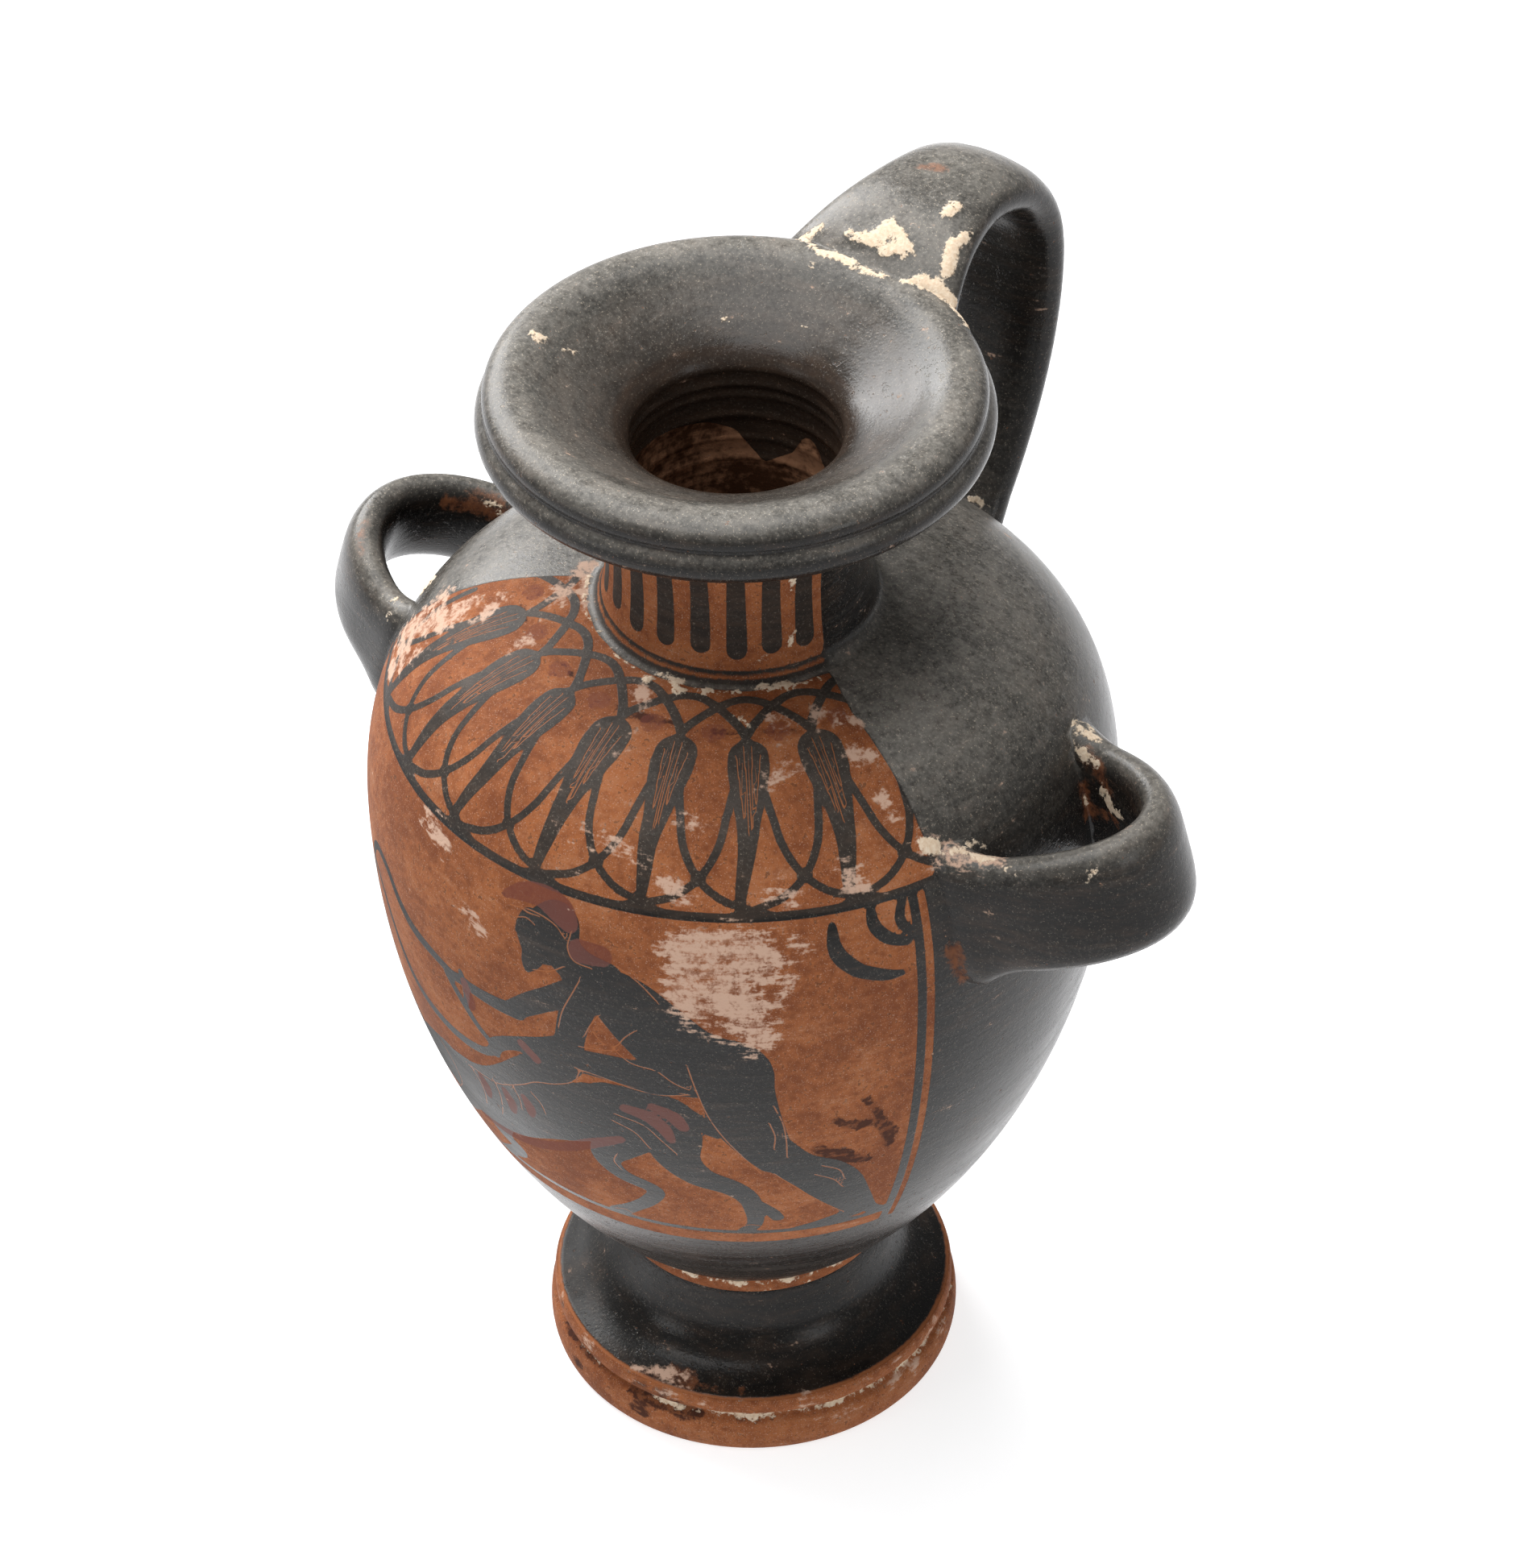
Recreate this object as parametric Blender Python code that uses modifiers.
"""Small black-figure hydria: a three-handled water jar of fired clay.

Metres, +Z up. The vessel stands on its foot at z = 0, turned about the Z axis,
with its picture side facing -Y, the upright handle at +Y and a carrying handle
at +X and at -X. Foot, body, neck, mouth and handles are luted together and
fired as one piece, so the whole jar is one solid with a hollow inside.
"""
import math

import bmesh
import bpy
from mathutils import Vector

# Turning: how finely the round forms are faceted
TURNED_STEPS = 56

# Foot: a disc with an upper and a lower band, rising in a hollow curve to a stem
FOOT_RADIUS = 0.0444
FOOT_UNDERSIDE_RADIUS = 0.0430
FOOT_TOP_RADIUS = 0.0424
FOOT_LOWER_BAND = 0.0100
FOOT_UPPER_BAND = 0.0045
FOOT_GROOVE_DEPTH = 0.0008
FOOT_RISE = 0.0195
STEM_RADIUS = 0.0286

# Fillet: the raised ring between stem and body
FILLET_RADIUS = 0.0298
FILLET_HEIGHT = 0.0040

# Body: widest at the belly, drawn out of the fillet at an angle
BODY_START_RADIUS = 0.0300
BODY_START_ANGLE = math.radians(45)
BODY_START_PULL = 0.0327
BELLY_RADIUS = 0.0760
BELLY_RISE = 0.1160
BELLY_PULL_DOWN = 0.0535
BELLY_PULL_UP = 0.0327
SHOULDER_RISE = 0.0480
SHOULDER_ANGLE = math.radians(5)
SHOULDER_PULL = 0.0319

# Neck: a little wider at its base, narrowest below its middle
NECK_BASE_RADIUS = 0.0283
NECK_RADIUS = 0.0260
NECK_HEIGHT = 0.0330
NECK_FLARE_RADIUS = 0.0300

# Mouth: a rolled lip over a smaller ridge, sloping like a funnel to the throat
LIP_RADIUS = 0.0503
LIP_OVERHANG_RISE = 0.0080
LIP_RIDGE_RADIUS = 0.0035
LIP_ROLL_RADIUS = 0.0052
LIP_ROLL_INSET = 0.0018
LIP_HEIGHT = 0.0124
DISH_EDGE_WIDTH = 0.0068
DISH_EDGE_DROP = 0.0026
DISH_DEPTH = 0.0110
THROAT_RADIUS = 0.0209

# Wall: the hollow inside
WALL = 0.0050
FLOOR_THICKNESS = 0.0035
NECK_BORE_RADIUS = 0.0212

# Carrying handles: upright oval straps bent into a loop that tilts upwards
CARRY_HALF_SPAN = 0.0222
CARRY_SEAT_DEPTH = 0.0125
CARRY_TILT = math.radians(17.4)
CARRY_HALF_THICKNESS = 0.0050
CARRY_ROOT_FLARE = 1.18
RIGHT_PROJECTION = 0.0238
RIGHT_ROOT_HEIGHT = 0.1670
RIGHT_HALF_WIDTH = 0.0128
LEFT_PROJECTION = 0.0188
LEFT_ROOT_HEIGHT = 0.1650
LEFT_HALF_WIDTH = 0.0115

# Upright handle: a wide oval strap from the lip over to the shoulder
POUR_CREST_RISE = 0.0028
POUR_CREST_OFFSET = 0.0180
POUR_BOW = 0.0202
POUR_BOW_HEIGHT = 0.0590
POUR_ROOT_HEIGHT = 0.1740
POUR_SEAT_DEPTH = 0.0130
POUR_HALF_WIDTH = 0.0132
POUR_HALF_THICKNESS = 0.0056
POUR_RIM_FLARE = 1.42
POUR_ROOT_FLARE = 1.12
POUR_CREST_PULL = 0.0150
POUR_BOW_PULL_UP = 0.0170
POUR_BOW_PULL_DOWN = 0.0270

# A cubic pull that makes a quarter of an ellipse
ROUND = 0.5523

# Heights of the parts above the floor, stacked from the foot up
FOOT_EDGE = FOOT_LOWER_BAND + FOOT_UPPER_BAND
STEM_TOP = FOOT_EDGE + FOOT_RISE
BODY_START = STEM_TOP + FILLET_HEIGHT
BELLY_HEIGHT = BODY_START + BELLY_RISE
NECK_BASE = BELLY_HEIGHT + SHOULDER_RISE
NECK_TOP = NECK_BASE + NECK_HEIGHT
LIP_BASE = NECK_TOP + LIP_OVERHANG_RISE
LIP_TOP = LIP_BASE + LIP_HEIGHT


def bezier(start, start_pull, end_pull, end, steps):
    """Points of a cubic curve in the profile plane, as (radius, height) pairs."""
    points = []
    for step in range(steps + 1):
        t = step / steps
        weights = ((1 - t) ** 3, 3 * (1 - t) ** 2 * t, 3 * (1 - t) * t ** 2, t ** 3)
        corners = (start, start_pull, end_pull, end)
        radius = sum(w * corner[0] for w, corner in zip(weights, corners))
        height = sum(w * corner[1] for w, corner in zip(weights, corners))
        points.append((radius, height))
    return points


def arc(centre, radius, start_degrees, end_degrees, steps):
    """Points of a circular arc in the profile plane."""
    points = []
    for step in range(steps + 1):
        angle = math.radians(start_degrees + (end_degrees - start_degrees) * step / steps)
        points.append((centre[0] + radius * math.cos(angle), centre[1] + radius * math.sin(angle)))
    return points


def offset_inward(points, distance):
    """A profile that runs upwards, moved to its left, towards the hollow."""
    moved = []
    for index, point in enumerate(points):
        before = points[max(index - 1, 0)]
        after = points[min(index + 1, len(points) - 1)]
        run = Vector((after[0] - before[0], after[1] - before[1])).normalized()
        moved.append((point[0] - run.y * distance, point[1] + run.x * distance))
    return moved


def foot_profile():
    """Underside rim, lower band, groove, upper band and the hollow rise to the stem."""
    lower_bulge = bezier(
        (FOOT_UNDERSIDE_RADIUS, 0.0),
        (FOOT_RADIUS + 0.0004, FOOT_LOWER_BAND * 0.15),
        (FOOT_RADIUS + 0.0002, FOOT_LOWER_BAND * 0.75),
        (FOOT_RADIUS - FOOT_GROOVE_DEPTH, FOOT_LOWER_BAND),
        3,
    )
    groove = [(FOOT_RADIUS - 2 * FOOT_GROOVE_DEPTH, FOOT_LOWER_BAND + FOOT_UPPER_BAND * 0.2)]
    upper_band = [
        (FOOT_RADIUS - FOOT_GROOVE_DEPTH, FOOT_LOWER_BAND + FOOT_UPPER_BAND * 0.45),
        (FOOT_TOP_RADIUS, FOOT_EDGE),
    ]
    rise = bezier(
        (FOOT_TOP_RADIUS, FOOT_EDGE),
        (FOOT_TOP_RADIUS - (FOOT_TOP_RADIUS - STEM_RADIUS) * 0.72, FOOT_EDGE + FOOT_RISE * 0.12),
        (STEM_RADIUS, FOOT_EDGE + FOOT_RISE * 0.42),
        (STEM_RADIUS, STEM_TOP),
        5,
    )
    return lower_bulge + groove + upper_band + rise[1:]


def fillet_profile():
    """The raised ring, a little rounded."""
    middle = STEM_TOP + FILLET_HEIGHT / 2
    return [
        (FILLET_RADIUS, STEM_TOP + FILLET_HEIGHT * 0.15),
        (FILLET_RADIUS + 0.0004, middle),
        (FILLET_RADIUS, STEM_TOP + FILLET_HEIGHT * 0.85),
    ]


def lower_body_profile(steps):
    """From the fillet out to the belly."""
    pull = (
        BODY_START_RADIUS + BODY_START_PULL * math.cos(BODY_START_ANGLE),
        BODY_START + BODY_START_PULL * math.sin(BODY_START_ANGLE),
    )
    belly = (BELLY_RADIUS, BELLY_HEIGHT)
    belly_pull = (BELLY_RADIUS, BELLY_HEIGHT - BELLY_PULL_DOWN)
    return bezier((BODY_START_RADIUS, BODY_START), pull, belly_pull, belly, steps)


def shoulder_profile(steps):
    """From the belly over the shoulder to the base of the neck."""
    pull = (
        NECK_BASE_RADIUS + SHOULDER_PULL * math.cos(SHOULDER_ANGLE),
        NECK_BASE - SHOULDER_PULL * math.sin(SHOULDER_ANGLE),
    )
    belly_pull = (BELLY_RADIUS, BELLY_HEIGHT + BELLY_PULL_UP)
    return bezier((BELLY_RADIUS, BELLY_HEIGHT), belly_pull, pull, (NECK_BASE_RADIUS, NECK_BASE), steps)


def neck_profile():
    """A shallow hollow curve from the neck's base to its flare under the lip."""
    waist = (NECK_RADIUS, NECK_BASE + NECK_HEIGHT * 0.5)
    lower = bezier(
        (NECK_BASE_RADIUS, NECK_BASE),
        (NECK_RADIUS + 0.0006, NECK_BASE + NECK_HEIGHT * 0.12),
        (NECK_RADIUS, NECK_BASE + NECK_HEIGHT * 0.3),
        waist,
        3,
    )
    upper = bezier(
        waist,
        (NECK_RADIUS, NECK_BASE + NECK_HEIGHT * 0.7),
        (NECK_RADIUS + 0.0012, NECK_BASE + NECK_HEIGHT * 0.9),
        (NECK_FLARE_RADIUS, NECK_TOP),
        3,
    )
    return lower + upper[1:]


def lip_profile():
    """Overhang, ridge, roll and the dished top down to the throat, from the outside in."""
    ridge_centre = (LIP_RADIUS - LIP_RIDGE_RADIUS, LIP_BASE + LIP_RIDGE_RADIUS)
    ridge = arc(ridge_centre, LIP_RIDGE_RADIUS, -70, 60, 3)
    roll_centre = (LIP_RADIUS - LIP_ROLL_INSET - LIP_ROLL_RADIUS, LIP_TOP - LIP_ROLL_RADIUS)
    roll = arc(roll_centre, LIP_ROLL_RADIUS, 5, 100, 4)
    dish_edge = (roll_centre[0] - DISH_EDGE_WIDTH, LIP_TOP - DISH_EDGE_DROP)
    throat = (THROAT_RADIUS, dish_edge[1] - DISH_DEPTH)
    dish = bezier(
        dish_edge,
        (dish_edge[0] - (dish_edge[0] - throat[0]) * 0.35, dish_edge[1] - DISH_DEPTH * 0.33),
        (throat[0] + (dish_edge[0] - throat[0]) * 0.12, throat[1] + DISH_DEPTH * 0.36),
        throat,
        4,
    )
    return ridge + roll + dish


def throat_height():
    return LIP_TOP - DISH_EDGE_DROP - DISH_DEPTH


def outer_profile():
    """The whole outside, from the middle of the throat over the lip down to the axis below."""
    upwards = (
        [(0.0, 0.0)]
        + foot_profile()
        + fillet_profile()
        + lower_body_profile(10)
        + shoulder_profile(8)[1:]
        + neck_profile()[1:]
        + lip_profile()
        + [(THROAT_RADIUS - 0.001, throat_height() - WALL), (0.0, throat_height() - WALL)]
    )
    return upwards[::-1]


def hollow_profile():
    """The hollow inside, from above the throat down to the floor on the axis."""
    floor = BODY_START + FLOOR_THICKNESS
    lower = offset_inward(lower_body_profile(7), WALL)
    lower = [point for point in lower if point[1] > floor + WALL * 0.1]
    shoulder = offset_inward(shoulder_profile(7), WALL)[1:]
    shoulder = [point for point in shoulder if point[0] > NECK_BORE_RADIUS + WALL * 0.5]
    corner = (wall_radius_at(floor) - WALL * 1.45, floor)
    upwards = (
        [(0.0, floor), corner]
        + lower
        + shoulder
        + [
            (NECK_BORE_RADIUS + WALL * 0.3, NECK_BASE - WALL * 0.7),
            (NECK_BORE_RADIUS, NECK_BASE + WALL * 0.4),
            (NECK_BORE_RADIUS, NECK_TOP - WALL),
            (THROAT_RADIUS + 0.0003, throat_height() - WALL * 0.4),
            (THROAT_RADIUS + 0.0003, LIP_TOP + WALL),
            (0.0, LIP_TOP + WALL),
        ]
    )
    return upwards[::-1]


def wall_radius_at(height):
    """Outer radius of the body at a height between the fillet and the neck."""
    points = lower_body_profile(40) + shoulder_profile(40)[1:]
    for low, high in zip(points, points[1:]):
        if low[1] <= height <= high[1]:
            share = (height - low[1]) / (high[1] - low[1])
            return low[0] + (high[0] - low[0]) * share
    return points[-1][0]


def clear_scene():
    for old in list(bpy.data.objects):
        bpy.data.objects.remove(old, do_unlink=True)
    for old in list(bpy.data.collections):
        bpy.data.collections.remove(old)


def new_collection(name):
    collection = bpy.data.collections.new(name)
    bpy.context.scene.collection.children.link(collection)
    return collection


def clay_material():
    """Black gloss over fired clay, as it is away from the picture panel."""
    material = bpy.data.materials.new("black_gloss")
    material.use_nodes = True
    shader = material.node_tree.nodes["Principled BSDF"]
    shader.inputs["Base Color"].default_value = (0.030, 0.028, 0.026, 1.0)
    shader.inputs["Roughness"].default_value = 0.42
    shader.inputs["Metallic"].default_value = 0.0
    return material


def turned_solid(name, profile, collection):
    """A profile in the XZ plane, turned about the Z axis."""
    mesh = bpy.data.meshes.new(name)
    vertices = [(radius, 0.0, height) for radius, height in profile]
    edges = [(index, index + 1) for index in range(len(profile) - 1)]
    mesh.from_pydata(vertices, edges, [])
    solid = bpy.data.objects.new(name, mesh)
    collection.objects.link(solid)
    screw = solid.modifiers.new("turning", "SCREW")
    screw.axis = "Z"
    screw.angle = 2 * math.pi
    screw.steps = TURNED_STEPS
    screw.render_steps = TURNED_STEPS
    screw.use_merge_vertices = True
    screw.merge_threshold = 0.00001
    screw.use_smooth_shade = True
    return solid


def oval_section(name, half_width, half_thickness, collection):
    """The oval that is drawn along a handle: thickness across, width along its second axis."""
    outline = bpy.data.curves.new(name, "CURVE")
    outline.dimensions = "2D"
    outline.resolution_u = 4
    oval = outline.splines.new("BEZIER")
    oval.bezier_points.add(3)
    corners = ((1, 0), (0, 1), (-1, 0), (0, -1))
    for point, (across, along) in zip(oval.bezier_points, corners):
        place = Vector((across * half_thickness, along * half_width, 0))
        pull = Vector((-along * half_thickness * ROUND, across * half_width * ROUND, 0))
        point.co = place
        point.handle_left = place - pull
        point.handle_right = place + pull
    oval.use_cyclic_u = True
    section = bpy.data.objects.new(name, outline)
    collection.objects.link(section)
    section.hide_render = True
    section.display_type = "WIRE"
    return section


def strap(name, knots, section, location, rotation, collection):
    """A strap along knots (place, pull, flare) in its own XY plane, as a closed mesh."""
    route = bpy.data.curves.new(name + "_route", "CURVE")
    route.dimensions = "3D"
    route.twist_mode = "Z_UP"
    route.resolution_u = 8
    route.bevel_mode = "OBJECT"
    route.bevel_object = section
    route.use_fill_caps = True
    line = route.splines.new("BEZIER")
    line.bezier_points.add(len(knots) - 1)
    for point, (place, pull_in, pull_out, flare) in zip(line.bezier_points, knots):
        place = Vector((place[0], place[1], 0))
        point.co = place
        point.handle_left = place - Vector((pull_in[0], pull_in[1], 0))
        point.handle_right = place + Vector((pull_out[0], pull_out[1], 0))
        point.radius = flare
    guide = bpy.data.objects.new(name + "_route", route)
    guide.location = location
    guide.rotation_euler = rotation
    collection.objects.link(guide)
    bpy.context.view_layer.update()

    evaluated = guide.evaluated_get(bpy.context.evaluated_depsgraph_get())
    mesh = bpy.data.meshes.new_from_object(evaluated)
    mesh.name = name
    work = bmesh.new()
    work.from_mesh(mesh)
    bmesh.ops.remove_doubles(work, verts=work.verts, dist=0.00001)
    bmesh.ops.recalc_face_normals(work, faces=work.faces)
    work.to_mesh(mesh)
    work.free()
    mesh.shade_smooth()
    solid = bpy.data.objects.new(name, mesh)
    solid.matrix_world = guide.matrix_world.copy()
    collection.objects.link(solid)
    solid.hide_render = True
    solid.display_type = "WIRE"
    bpy.data.objects.remove(guide, do_unlink=True)
    return solid


def carrying_handle(name, projection, root_height, half_width, turn, collection):
    """A half-oval loop that starts inside the wall and tilts up as it stands out."""
    section = oval_section(name + "_section", half_width, CARRY_HALF_THICKNESS, collection)
    length = (CARRY_SEAT_DEPTH + projection) / math.cos(CARRY_TILT)
    side = CARRY_HALF_SPAN
    knots = (
        ((0.0, -side), (length * ROUND, 0.0), (length * ROUND, 0.0), CARRY_ROOT_FLARE),
        ((length, 0.0), (0.0, side * ROUND), (0.0, side * ROUND), 1.0),
        ((0.0, side), (-length * ROUND, 0.0), (-length * ROUND, 0.0), CARRY_ROOT_FLARE),
    )
    seat_radius = wall_radius_at(root_height) - CARRY_SEAT_DEPTH
    location = (seat_radius * math.cos(turn), seat_radius * math.sin(turn), root_height)
    return strap(name, knots, section, location, (0.0, -CARRY_TILT, turn), collection)


def pouring_handle(name, collection):
    """The upright handle, drawn in a plane whose first axis points outwards and second up."""
    section = oval_section(name + "_section", POUR_HALF_WIDTH, POUR_HALF_THICKNESS, collection)
    rim = (LIP_RADIUS - LIP_ROLL_INSET - LIP_ROLL_RADIUS, LIP_BASE + LIP_HEIGHT * 0.4)
    crest = (rim[0] + POUR_CREST_OFFSET + WALL, LIP_TOP + POUR_CREST_RISE)
    root_wall = wall_radius_at(POUR_ROOT_HEIGHT)
    bow = (root_wall + POUR_BOW, POUR_ROOT_HEIGHT + POUR_BOW_HEIGHT)
    root = (root_wall - POUR_SEAT_DEPTH, POUR_ROOT_HEIGHT - POUR_SEAT_DEPTH * 0.7)
    knots = (
        (rim, (0.0, 0.0), (POUR_CREST_OFFSET * 0.4, POUR_CREST_OFFSET * 0.45), POUR_RIM_FLARE),
        (crest, (POUR_CREST_PULL, 0.0), (POUR_CREST_PULL, 0.0), 1.0),
        (bow, (0.0, -POUR_BOW_PULL_UP), (0.0, -POUR_BOW_PULL_DOWN), 1.0),
        (root, (-POUR_BOW * 0.85, -POUR_BOW * 0.85), (0.0, 0.0), POUR_ROOT_FLARE),
    )
    return strap(name, knots, section, (0, 0, 0), (math.pi / 2, 0, math.pi / 2), collection)


def combine(body, other, operation):
    boolean = body.modifiers.new(other.name, "BOOLEAN")
    boolean.operation = operation
    boolean.solver = "EXACT"
    boolean.object = other


clear_scene()
vessel = new_collection("hydria")
cutters = new_collection("cutters")

jar = turned_solid("hydria", outer_profile(), vessel)
jar.data.materials.append(clay_material())
joined = (
    carrying_handle("right_handle", RIGHT_PROJECTION, RIGHT_ROOT_HEIGHT, RIGHT_HALF_WIDTH, 0.0, cutters),
    carrying_handle("left_handle", LEFT_PROJECTION, LEFT_ROOT_HEIGHT, LEFT_HALF_WIDTH, math.pi, cutters),
    pouring_handle("upright_handle", cutters),
)
for handle in joined:
    combine(jar, handle, "UNION")
hollow = turned_solid("hollow", hollow_profile(), cutters)
hollow.hide_render = True
hollow.display_type = "WIRE"
combine(jar, hollow, "DIFFERENCE")
